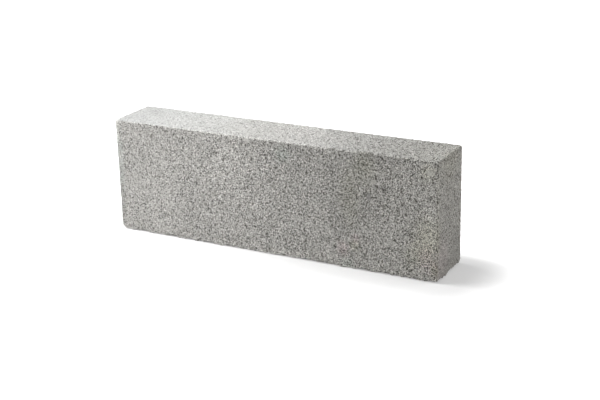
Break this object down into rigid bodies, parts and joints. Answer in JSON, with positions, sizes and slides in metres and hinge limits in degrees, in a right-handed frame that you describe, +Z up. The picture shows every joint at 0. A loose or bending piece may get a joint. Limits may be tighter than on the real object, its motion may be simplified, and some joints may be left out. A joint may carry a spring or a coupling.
{
  "type": "granite kerb stone",
  "caption": "Straight granite kerb stone of upright rectangular section, with a dressed road face and top, sawn ends, rounded arrises and a chipped foot.",
  "frame": {"origin": "middle of the underside that the stone stands on", "axes": "+X along the stone, towards its right-hand end as seen from the road; +Y from the road face to the back face; +Z up"},
  "size_m": [0.9, 0.15, 0.3],
  "materials": {
    "granite": "rough"
  },
  "bodies": {
    "root": {"kerb_stone": "granite"}
  },
  "joints": []
}
